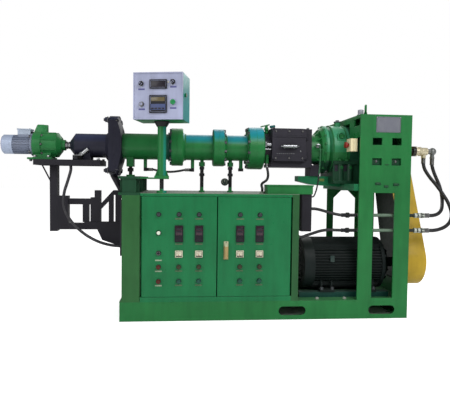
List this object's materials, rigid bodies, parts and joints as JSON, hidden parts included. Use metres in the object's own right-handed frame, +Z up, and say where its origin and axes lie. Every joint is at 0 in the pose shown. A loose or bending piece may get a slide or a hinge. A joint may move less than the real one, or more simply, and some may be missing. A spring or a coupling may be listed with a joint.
{
  "type": "rubber extruder",
  "caption": "Cold-feed rubber extruder: screw barrel over a switch cabinet, gearbox tower with belt drive and motor, feed roller housing, and a head with its own geared motor",
  "frame": {"origin": "Middle of the base frame at floor level, on the underside of its middle cross member", "axes": "+X along the screw towards the gearbox, +Y to the back of the machine, +Z up"},
  "size_m": [2.8144, 0.7404, 1.409],
  "materials": {
    "bare_aluminium": "silver painted aluminium casting",
    "black_paint": "black heat-worn enamel",
    "box_black": "satin black paint",
    "brass": "machined brass",
    "chrome": "polished",
    "control_plastic": "black moulded plastic",
    "dark_green_paint": "darker machine green paint",
    "green_paint": "semi-gloss machine green paint",
    "guard_yellow": "yellow paint",
    "hose_rubber": "black rubber",
    "motor_black": "black motor enamel",
    "panel_grey": "pale grey-lilac powder coat",
    "station_cream": "cream plastic",
    "steel": "machined steel"
  },
  "bodies": {
    "frame": {"base_front_rail": "green_paint", "base_rear_rail": "green_paint", "base_end_rails": "green_paint", "base_cross_members": "green_paint", "base_deck": "green_paint", "support_columns": "green_paint", "column_head": "dark_green_paint", "barrel_support": "green_paint", "cabinet_body": "green_paint", "control_box": "green_paint", "control_panel": "panel_grey", "control_post": "green_paint", "barrel_front": "green_paint", "barrel_middle": "green_paint", "barrel_rear": "green_paint", "head_body": "black_paint", "head_clamp": "black_paint", "head_sensor": "steel", "head_reducer": "green_paint", "head_motor": "bare_aluminium", "motor_table": "black_paint", "side_frame": "black_paint", "feed_housing": "black_paint", "feed_roller": "steel", "feed_clamps": "chrome", "gearbox_bell": "green_paint", "gearbox_case": "green_paint", "gearbox_shelf": "green_paint", "tower_front": "green_paint", "tower_rear": "green_paint", "tower_sides": "green_paint", "tower_top": "green_paint", "lifting_eye": "dark_green_paint", "main_motor": "motor_black", "motor_rails": "motor_black", "belt_guard": "guard_yellow", "rotary_union": "brass", "stop_station": "station_cream", "cable_tray": "green_paint", "junction_box": "box_black", "water_pipes": "green_paint", "pressure_gauge": "box_black", "tower_pipes": "green_paint", "union_hose_upper": "hose_rubber", "union_hose_lower": "hose_rubber", "tower_hose_upper": "hose_rubber", "tower_hose_lower": "hose_rubber", "jumper_hose": "hose_rubber", "head_conduit": "hose_rubber", "feed_cable": "hose_rubber", "feed_hose": "hose_rubber"},
    "left_door": {"cabinet_door_left": "green_paint", "left_door_controls": "control_plastic"},
    "right_door": {"cabinet_door_right": "green_paint", "right_door_controls": "control_plastic", "door_handle": "brass"},
    "cover": {"feed_cover": "black_paint", "feed_handle": "chrome"},
    "shaft": {"drive_shaft": "steel"}
  },
  "joints": [
    {"name": "left_door_swing", "type": "hinge", "parent": "frame", "child": "left_door", "pos_m": [-0.722, -0.309, 0.4], "axis": [0, 0, -1], "range_deg": [0, 95]},
    {"name": "right_door_swing", "type": "hinge", "parent": "frame", "child": "right_door", "pos_m": [0.127, -0.309, 0.4], "axis": [0, 0, 1], "range_deg": [0, 95]},
    {"name": "feed_cover_swing", "type": "hinge", "parent": "frame", "child": "cover", "pos_m": [0.273, -0.109, 1.04], "axis": [0, 0, 1], "range_deg": [0, 90]},
    {"name": "drive_shaft_spin", "type": "hinge", "parent": "frame", "child": "shaft", "pos_m": [-1.21, 0, 1.023], "axis": [1, 0, 0], "continuous": true}
  ]
}
